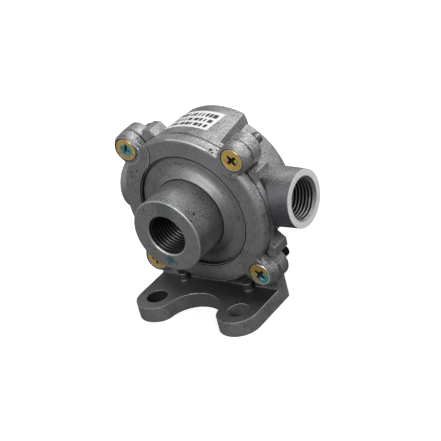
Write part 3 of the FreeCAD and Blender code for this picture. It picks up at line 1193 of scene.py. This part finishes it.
@dataclass
class CoverScrew:
    """Countersunk cross-recess screw that stands for one plain CAD screw."""

    corner: Corner
    x: float
    z: float
    recess_turn: float
    front_y: float = COVER_FACE_Y
    head_radius: float = 4.45 * MM
    head_depth: float = 2.05 * MM
    head_rim: float = 0.20 * MM
    crown: float = 0.02 * MM
    core_radius: float = 2.05 * MM
    crest_radius: float = 2.48 * MM
    length: float = 18.0 * MM
    thread_start: float = 7.1 * MM
    tip_length: float = 0.7 * MM
    pitch: float = 0.8 * MM
    arm_length: float = 2.40 * MM
    arm_half_width: float = 0.50 * MM
    web_half_width: float = 0.70 * MM
    recess_depth: float = 1.9 * MM
    recess_reach: float = 2.6 * MM
    sharp_angle: float = math.radians(38.0)
    segments: int = 48
    rows_per_pitch: int = 7

    def shank_rows(self) -> list[tuple[float, bool]]:
        """Lists the shank's rings.

        Returns:
            The depth of each ring and whether it is threaded.
        """
        rows: list[tuple[float, bool]] = [(self.head_depth, False), (self.thread_start, False)]
        count = int((self.length - self.thread_start) / self.pitch * self.rows_per_pitch)
        for row in range(1, count + 1):
            rows.append((self.thread_start + (self.length - self.thread_start) * row / count, True))
        return rows

    def thread_radii(self, depth: float) -> list[float]:
        """Gives the radii of one ring of the thread, tapered at the tip.

        Args:
            depth: depth of the ring below the head's face.

        Returns:
            One radius for each step round the ring.
        """
        taper = min(1.0, (self.length - depth) / self.tip_length + 0.45)
        radii: list[float] = []
        for step in range(self.segments):
            phase = (depth / self.pitch + step / self.segments) % 1.0
            ridge = 1.0 - abs(2.0 * phase - 1.0)
            radius = self.core_radius + (self.crest_radius - self.core_radius) * ridge
            radii.append(min(radius, self.crest_radius * taper))
        return radii

    def build(
        self, head: bpy.types.Material, recess: bpy.types.Material, shank: bpy.types.Material
    ) -> bpy.types.Object:
        """Builds head, cross recess and threaded shank, and replaces the CAD screw.

        Args:
            head: finish of the head.
            recess: finish of the cross recess.
            shank: finish of the shank.

        Returns:
            The new piece.
        """
        place = axis_frame((self.x, self.front_y, self.z), (0.0, 1.0, 0.0))
        points, faces = self.shape(place)
        obj = link_solid(f"screw_{self.corner.value}", points, faces, smooth=False)
        self.cut_recess(obj, place)
        for polygon in obj.data.polygons:
            polygon.use_smooth = True
        obj.data.set_sharp_from_angle(angle=self.sharp_angle)
        coat(obj, head, recess, shank)
        for polygon in obj.data.polygons:
            polygon.material_index = self.finish_at(polygon.center)
        enlist(obj)
        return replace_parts(obj, f"cover_screw_{self.corner.value}")

    def shape(self, place: Matrix) -> tuple[list[Point], list[Face]]:
        """Gives the screw without its recess, from the head's face to the tip.

        Args:
            place: local frame of the screw.

        Returns:
            Its points and faces.
        """
        outline = (
            (self.head_radius - 0.8 * MM, -self.crown),
            (self.head_radius - self.head_rim, self.crown),
            (self.head_radius, self.head_rim),
            (self.head_radius - 0.1 * MM, self.head_rim + 0.15 * MM),
        )
        points: list[Point] = [tuple(place @ Vector((0.0, 0.0, -self.crown)))]
        for radius, depth in outline:
            points.extend(ring_points(place, depth, [radius] * self.segments))
        for depth, threaded in self.shank_rows():
            radii = self.thread_radii(depth) if threaded else [self.crest_radius] * self.segments
            points.extend(ring_points(place, depth, radii))
        faces: list[Face] = [(0, 1 + (step + 1) % self.segments, 1 + step) for step in range(self.segments)]
        last = len(points) - self.segments
        for start in range(1, last, self.segments):
            faces.extend(bridge_rings(start, start + self.segments, self.segments))
        faces.append(tuple(range(last, len(points))))
        return points, faces

    def finish_at(self, centre: Vector) -> int:
        """Tells which of the screw's three finishes a face has.

        Args:
            centre: middle of the face.

        Returns:
            0 for the head, 1 for the recess and 2 for the shank.
        """
        depth = centre.y - self.front_y
        reach = math.hypot(centre.x - self.x, centre.z - self.z)
        if depth > self.head_depth:
            return 2
        sunk = 0.1 * MM < depth < self.head_depth - 0.05 * MM
        return 1 if sunk and reach < self.recess_reach else 0

    def cut_recess(self, obj: bpy.types.Object, place: Matrix) -> None:
        """Cuts the tapered cross recess into the head.

        Args:
            obj: the screw.
            place: local frame of the screw.
        """
        points: list[Point] = []
        for depth, scale in ((-0.4 * MM, 1.05), (self.recess_depth, 0.55)):
            web = self.web_half_width * min(1.0, scale + 0.2)
            arm = self.arm_length * scale
            for quarter in range(4):
                turn = self.recess_turn + quarter * math.pi / 2.0
                for along, across in ((web, -web), (arm, -self.arm_half_width), (arm, self.arm_half_width)):
                    x = along * math.cos(turn) - across * math.sin(turn)
                    y = along * math.sin(turn) + across * math.cos(turn)
                    points.append(tuple(place @ Vector((x, y, depth))))
        count = len(points) // 2
        faces: list[Face] = [tuple(range(count)), tuple(range(2 * count - 1, count - 1, -1))]
        faces.extend(bridge_rings(0, count, count))
        cutter = link_solid(f"cutter_{self.corner.value}", points, faces, smooth=False)
        cut = obj.modifiers.new("recess", "BOOLEAN")
        cut.operation = "DIFFERENCE"
        cut.solver = "EXACT"
        cut.object = cutter
        graph = bpy.context.evaluated_depsgraph_get()
        result = bpy.data.meshes.new_from_object(obj.evaluated_get(graph))
        obj.modifiers.clear()
        obj.data = result
        bpy.data.objects.remove(cutter)


@dataclass
class LabelPrint:
    """Rows of plain dark bars on the label."""

    left_x: float = -11.1 * MM
    right_x: float = 6.6 * MM
    rows: tuple[Pair, ...] = (mm(23.3, 2.2), mm(27.0, 2.2), mm(31.0, 2.6))
    bar_widths: tuple[float, ...] = mm(0.7, 1.2, 1.8)
    gap_widths: tuple[float, ...] = mm(0.40, 0.50, 0.95)
    lift: float = 0.28 * MM
    thickness: float = 0.12 * MM
    pad_end_radius: float = 29.9 * MM
    pad_end_y: float = 39.85 * MM

    def surface_point(self, x: float, y: float, lift: float) -> Point:
        """Gives a point at some height over the tapered pad.

        Args:
            x: place across the pad.
            y: place along the pad.
            lift: height above the pad's surface.

        Returns:
            The point in the frame.
        """
        slope = (self.pad_end_radius - RIM_RADIUS) / (self.pad_end_y - SEAM_Y)
        radius = RIM_RADIUS + slope * (y - SEAM_Y) + lift
        return (x, y, AXIS_HEIGHT + math.sqrt(radius * radius - x * x))

    def build(self, material: bpy.types.Material) -> bpy.types.Object:
        """Builds the bars as thin curved plates.

        Args:
            material: ink of the bars.

        Returns:
            The new piece.
        """
        draw = random.Random(11)
        points: list[Point] = []
        faces: list[Face] = []
        for row_y, depth in self.rows:
            x = self.right_x
            width = draw.choice(self.bar_widths)
            while x - width > self.left_x:
                self.add_bar(points, faces, (x - width, x), (row_y - depth / 2.0, row_y + depth / 2.0))
                x -= width + draw.choice(self.gap_widths)
                width = draw.choice(self.bar_widths)
        obj = link_solid("label_bars", points, faces, smooth=False)
        coat(obj, material)
        return enlist(obj)

    def add_bar(self, points: list[Point], faces: list[Face], ends: Pair, sides: Pair) -> None:
        """Adds one closed bar.

        Args:
            points: list that gets the bar's corners.
            faces: list that gets the bar's faces.
            ends: left and right end.
            sides: front and back side.
        """
        base = len(points)
        (left, right), (front, back) = ends, sides
        for lift in (self.lift - self.thickness, self.lift):
            for x, y in ((left, front), (right, front), (right, back), (left, back)):
                points.append(self.surface_point(x, y, lift))
        faces.append(tuple(range(base, base + 4)))
        faces.append(tuple(range(base + 4, base + 8)))
        faces.extend(bridge_rings(base, base + 4, 4))


@dataclass
class Housing:
    """Body, cover, threads, screws and label, which all stay still."""

    def build(self, nodes: dict[str, bpy.types.Object]) -> None:
        """Dresses the CAD castings and adds threads, screws and the label's bars.

        Args:
            nodes: the CAD nodes by name.
        """
        marks, lines = self.cover_marks(), self.cover_lines()
        cover = CastAluminium("cast_cover", dish_depth=1.0 * MM, marks=marks, lines=lines)
        body = CastAluminium("cast_body", machined_end=PORT_END_X - 0.02 * MM)
        paper = LabelPaper("label_paper")
        for name, finish in (("front_cover", cover), ("valve_body", body), ("label", paper)):
            coat(nodes[name], finish.build())
            LOG.info("dressed %s", name)
        # The inlet's thread is a shaded copy of the thread finish, with dark crests, and the side ports'
        # threads a lit copy.
        inlet = PortThread("thread_inlet", (0.0, BOSS_FACE_Y, AXIS_HEIGHT), (0.0, 1.0, 0.0))
        inlet.build(ThreadMetal("shaded_thread", crest=0.06).build())
        lit_thread_finish = ThreadMetal("lit_thread", crest=0.42).build()
        for name, side in (("thread_right", 1.0), ("thread_left", -1.0)):
            PortThread(name, (side * PORT_END_X, PORT_Y, AXIS_HEIGHT), (-side, 0.0, 0.0)).build(lit_thread_finish)
        self.build_screws()
        LabelPrint().build(PrintInk("print_ink").build())

    def cover_marks(self) -> tuple[PaintMark, ...]:
        """Lists the paint on the boss's face and the larger pores of the cover.

        Returns:
            The marks.
        """
        boss_y, cover_y = BOSS_FACE_Y / MM, COVER_FACE_Y / MM
        faint = (0.10, 0.17, 0.15, 1.0)
        # Each row holds x, y, z and radius in millimetres, the strength and the colour.
        rows = (
            (-1.3, boss_y, 29.3, 2.0, 0.85, MARKING_TEAL),
            (0.9, boss_y, 28.6, 1.2, 0.5, MARKING_TEAL),
            (1.9, boss_y, 51.6, 5.2, 0.42, faint),
            (16.6, 13.9, 66.2, 0.45, 0.9, PORE_BLACK),
            (12.0, -2.2, 48.5, 0.80, 0.85, PORE_BLACK),
            (12.7, -5.3, 47.4, 0.60, 0.8, PORE_BLACK),
            (12.7, 3.9, 47.4, 0.40, 0.7, PORE_BLACK),
            (15.0, 12.3, 67.0, 0.95, 0.95, PORE_BLACK),
            (15.9, 11.4, 66.6, 0.60, 0.95, PORE_BLACK),
            (22.4, cover_y, 58.2, 0.50, 0.7, PORE_BLACK),
            (24.3, cover_y, 53.4, 0.45, 0.6, PORE_BLACK),
            (-21.7, cover_y, 55.4, 0.55, 0.8, PORE_BLACK),
        )
        return tuple(
            PaintMark(mm(x, y, z), radius * MM, strength, colour)
            for x, y, z, radius, strength, colour in rows
        )

    def cover_lines(self) -> tuple[RingLine, ...]:
        """Lists the cover's lines of painted shade in creases and gaps and of painted highlight on edges.

        Returns:
            The lines.
        """
        face = mm(10.7, 11.1)
        groove = mm(10.8, 11.2)
        top = AXIS_HEIGHT + SCREW_OFFSET
        left_lug, right_lug = (-SCREW_OFFSET, top), (SCREW_OFFSET, top)
        by_left_lug = mm(-16.4, -8.9)
        # Lines flagged as highlights are painted highlights on edges; the others are painted shade in
        # creases and gaps.
        lines = [
            RingLine(TROUGH_RADIUS, mm(11.2, 12.6), width=0.30 * MM, strength=0.95),
            RingLine(23.4 * MM, groove, width=0.34 * MM, strength=0.95),
            RingLine(23.3 * MM, groove, across=(-1.0, -18.0 * MM), width=0.75 * MM, strength=0.95),
            RingLine(8.30 * MM, mm(-6.4, -5.7), width=0.22 * MM, strength=0.6, painted_highlight=True),
            RingLine(BOSS_RADIUS - 0.2 * MM, mm(-6.4, -5.8), width=0.20 * MM, strength=0.55, painted_highlight=True),
            RingLine(RIM_RADIUS - 0.6 * MM, mm(10.8, 11.5), across=mm(-4.0, 13.5), width=0.35 * MM,
                     strength=0.8, painted_highlight=True),
            RingLine(BOSS_RADIUS + 0.2 * MM, mm(8.9, 9.7), width=0.30 * MM, strength=0.8),
            RingLine(11.05 * MM, face, left_lug, by_left_lug, width=0.28 * MM),
            RingLine(10.55 * MM, face, left_lug, by_left_lug, width=0.24 * MM, strength=0.55, painted_highlight=True),
            RingLine(8.3 * MM, face, right_lug, mm(18.5, 24.5), width=0.22 * MM, strength=0.6),
        ]
        for x in (-SCREW_OFFSET, SCREW_OFFSET):
            for z in (AXIS_HEIGHT - SCREW_OFFSET, top):
                lines.append(RingLine(4.65 * MM, face, (x, z), width=0.30 * MM, strength=0.95))
        for x in (-SCREW_OFFSET, SCREW_OFFSET):
            lines.append(RingLine(6.15 * MM, mm(10.7, 11.5), (x, top), (x - 2.0 * MM, 1.0), width=0.26 * MM,
                                  strength=0.75, painted_highlight=True))
        return tuple(lines)

    def build_screws(self) -> None:
        """Builds the four cover screws, two of them with dabs of paint, one of these also with a painted
        glint.
        """
        low, high = AXIS_HEIGHT - SCREW_OFFSET, AXIS_HEIGHT + SCREW_OFFSET
        left, right = -SCREW_OFFSET, SCREW_OFFSET
        face = COVER_FACE_Y
        violet, blue, glint = (0.17, 0.11, 0.19, 1.0), (0.02, 0.23, 0.30, 1.0), (0.50, 0.66, 0.68, 1.0)
        painted = (PaintMark((left + 0.3 * MM, face, high - 0.2 * MM), 3.1 * MM),)
        # Violet and blue stains and a painted glint on the lower right screw.
        stains_and_glint = (
            PaintMark((right - 0.6 * MM, face, low - 1.4 * MM), 2.6 * MM, 0.7, violet),
            PaintMark((right + 1.1 * MM, face, low - 1.3 * MM), 2.9 * MM, 0.95, blue),
            PaintMark((right + 0.7 * MM, face, low - 1.7 * MM), 0.8 * MM, 0.7, glint),
        )
        plan = (
            (Corner.TOP_LEFT, left, high, 0.35, painted),
            (Corner.TOP_RIGHT, right, high, 0.95, ()),
            (Corner.BOTTOM_RIGHT, right, low, 0.75, stains_and_glint),
            (Corner.BOTTOM_LEFT, left, low, 0.15, ()),
        )
        bare_spot = PaintMark((left, face + 1.2 * MM, high), 1.5 * MM, colour=(0.06, 0.30, 0.36, 1.0))
        plain_recess = RecessShade("recess_shade").build()
        painted_recess = RecessShade("recess_painted", bare=bare_spot).build()
        grey_shank = ScrewShank("screw_shank", ridge=(0.42, 0.40, 0.35, 1.0)).build()
        # The lower right screw's shank is darker.
        dark_shank = ScrewShank("dark_shank", ridge=(0.04, 0.042, 0.045, 1.0)).build()
        for index, (corner, x, z, turn, dabs) in enumerate(plan):
            lower_right = corner is Corner.BOTTOM_RIGHT
            # The rim's painted highlight: strong on the right of the lower right screw, faint all round on
            # the others.
            rim = RingLine(4.25 * MM, (face - 1.0 * MM, face + 1.0 * MM), (x, z), width=0.24 * MM,
                           across=(x - (0.5 if lower_right else 9.0) * MM, 1.0), strength=0.9 if lower_right else 0.35)
            wash = (0.66, 0.80, 0.74, 1.0) if lower_right else WHITE
            head = YellowZinc(f"yellow_zinc_{corner.value}", 3.7 * index, rim, dabs, wash).build()
            recess = painted_recess if corner is Corner.TOP_LEFT else plain_recess
            CoverScrew(corner, x, z, turn).build(head, recess, dark_shank if lower_right else grey_shank)


@dataclass
class ReturnSpring:
    """The coil behind the diaphragm; the real coil shortens as the diaphragm moves back, but this one is
    built at one length.
    """

    front: float = 18.57 * MM
    back: float = 26.70 * MM
    mean_radius: float = 13.0 * MM
    wire_radius: float = 0.55 * MM
    turns: float = 3.5
    steps_per_turn: int = 32
    sides: int = 12
    travel: float = 2.02 * MM

    def build(self, material: bpy.types.Material) -> bpy.types.Object:
        """Builds the coil as a closed tube of round wire with ends cut flat.

        Args:
            material: the spring's finish.

        Returns:
            The new piece.
        """
        steps = round(self.turns * self.steps_per_turn)
        length = self.back - self.front
        rise = length - 2.0 * self.wire_radius
        points: list[Point] = []
        faces: list[Face] = []
        for step in range(steps + 1):
            angle = 2.0 * math.pi * step / self.steps_per_turn
            middle = self.front + self.wire_radius + rise * step / steps
            for side in range(self.sides):
                turn = 2.0 * math.pi * side / self.sides
                reach = self.mean_radius + self.wire_radius * math.cos(turn)
                height = AXIS_HEIGHT + reach * math.sin(angle)
                points.append((reach * math.cos(angle), middle + self.wire_radius * math.sin(turn), height))
            if step < steps:
                faces.extend(bridge_rings(step * self.sides, (step + 1) * self.sides, self.sides))
        faces.append(tuple(range(self.sides)))
        faces.append(tuple(range(steps * self.sides, len(points))))
        obj = link_solid("coil_spring", points, faces)
        coat(obj, material)
        enlist(obj)
        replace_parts(obj, "return_spring")
        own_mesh(obj)
        return obj


@dataclass
class InnerParts:
    """Diaphragm, spring, seal, screen and retaining ring."""

    def build(self, nodes: dict[str, bpy.types.Object]) -> None:
        """Dresses the CAD nodes of the inner parts and builds the coil.

        Args:
            nodes: the CAD nodes by name.
        """
        rubber = Rubber("black_rubber").build()
        bright = Steel("bright_steel", low=0.42, high=0.62).build()
        dark = Steel("dark_steel", low=0.05, high=0.10, roughness=0.45).build()
        for name, finish in (
            ("cover_seal", rubber),
            ("diaphragm", rubber),
            ("spring_seat", bright),
            ("exhaust_screen", bright),
            ("retaining_ring", dark),
        ):
            coat(nodes[name], finish)
            LOG.info("dressed %s", name)
        ReturnSpring().build(bright)


@dataclass(frozen=True)
class SoftLight:
    """A square area light."""

    name: str
    place: Point
    size: float
    watts: float

    def build(self, target: Point) -> None:
        """Builds the light.

        Args:
            target: point that it is aimed at.
        """
        data = bpy.data.lights.new(self.name, "AREA")
        data.size = self.size
        data.energy = self.watts
        light = bpy.data.objects.new(self.name, data)
        light.location = self.place
        aim = Vector(target) - Vector(self.place)
        light.rotation_euler = aim.to_track_quat("-Z", "Y").to_euler()
        bpy.context.scene.collection.objects.link(light)


@dataclass
class Studio:
    """Pale floor, soft lights and the camera at the photograph's angle."""

    target: Point = mm(7.10, 17.03, 33.56)
    distance: float = 0.5696
    azimuth: float = math.radians(40.586)
    elevation: float = math.radians(28.231)
    roll: float = math.radians(-14.613)
    focal_px: float = 1519.2
    image_px: float = 441.0
    sensor_mm: float = 36.0
    floor_half: float = 6.0
    horizon: Colour = (0.24, 0.24, 0.247, 1.0)
    zenith: Colour = (0.42, 0.42, 0.42, 1.0)
    lights: tuple[SoftLight, ...] = (
        SoftLight("overhead", (0.25, 0.75, 0.95), 0.9, 7.2),
        SoftLight("right_fill", (1.15, 0.38, 0.42), 0.6, 3.5),
        SoftLight("front_key", (0.20, -0.95, 0.75), 0.35, 7.4),
    )

    def build(self) -> None:
        """Builds floor, world, lights and camera."""
        bpy.context.scene.view_settings.view_transform = "Standard"
        self.build_floor()
        self.build_world()
        for light in self.lights:
            light.build(self.target)
        self.build_camera()

    def build_floor(self) -> None:
        """Builds the pale floor."""
        half = self.floor_half
        corners = [(-half, -half, 0.0), (half, -half, 0.0), (half, half, 0.0), (-half, half, 0.0)]
        floor = link_mesh("floor", corners, [(0, 1, 2, 3)])
        coat(floor, PaleFloor("pale_floor").build())

    def build_world(self) -> None:
        """Builds a soft sky that is brighter overhead than at the horizon."""
        world = bpy.data.worlds.new("studio")
        bpy.context.scene.world = world
        world.use_nodes = True
        tree = world.node_tree
        tree.nodes.clear()
        output = tree.nodes.new("ShaderNodeOutputWorld")
        background = tree.nodes.new("ShaderNodeBackground")
        coordinates = tree.nodes.new("ShaderNodeTexCoord")
        split = tree.nodes.new("ShaderNodeSeparateXYZ")
        ramp = tree.nodes.new("ShaderNodeValToRGB")
        low, high = ramp.color_ramp.elements
        low.position = 0.0
        low.color = self.horizon
        high.position = 0.75
        high.color = self.zenith
        background.inputs["Strength"].default_value = 1.0
        tree.links.new(coordinates.outputs["Generated"], split.inputs[0])
        tree.links.new(split.outputs["Z"], ramp.inputs["Fac"])
        tree.links.new(ramp.outputs["Color"], background.inputs["Color"])
        tree.links.new(background.outputs["Background"], output.inputs["Surface"])

    def build_camera(self) -> None:
        """Builds the camera and makes it the scene's camera."""
        back = Vector((
            math.sin(self.azimuth) * math.cos(self.elevation),
            -math.cos(self.azimuth) * math.cos(self.elevation),
            math.sin(self.elevation),
        ))
        level = Vector((math.cos(self.azimuth), math.sin(self.azimuth), 0.0))
        upright = back.cross(level)
        right = level * math.cos(self.roll) + upright * math.sin(self.roll)
        up = upright * math.cos(self.roll) - level * math.sin(self.roll)
        place = Vector(self.target) + back * self.distance
        data = bpy.data.cameras.new("camera")
        data.sensor_width = self.sensor_mm
        data.lens = self.focal_px / self.image_px * self.sensor_mm
        data.clip_start = 0.05
        data.clip_end = 20.0
        camera = bpy.data.objects.new("camera", data)
        camera.matrix_world = Matrix((
            (right.x, up.x, back.x, place.x),
            (right.y, up.y, back.y, place.y),
            (right.z, up.z, back.z, place.z),
            (0.0, 0.0, 0.0, 1.0),
        ))
        bpy.context.scene.collection.objects.link(camera)
        bpy.context.scene.camera = camera


def main() -> None:
    """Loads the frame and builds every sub-assembly."""
    logging.basicConfig(level=logging.INFO, format="%(name)s: %(message)s")
    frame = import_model()
    nodes = frame["nodes"]
    Housing().build(nodes)
    InnerParts().build(nodes)
    Studio().build()


if __name__ == "__main__":
    main()
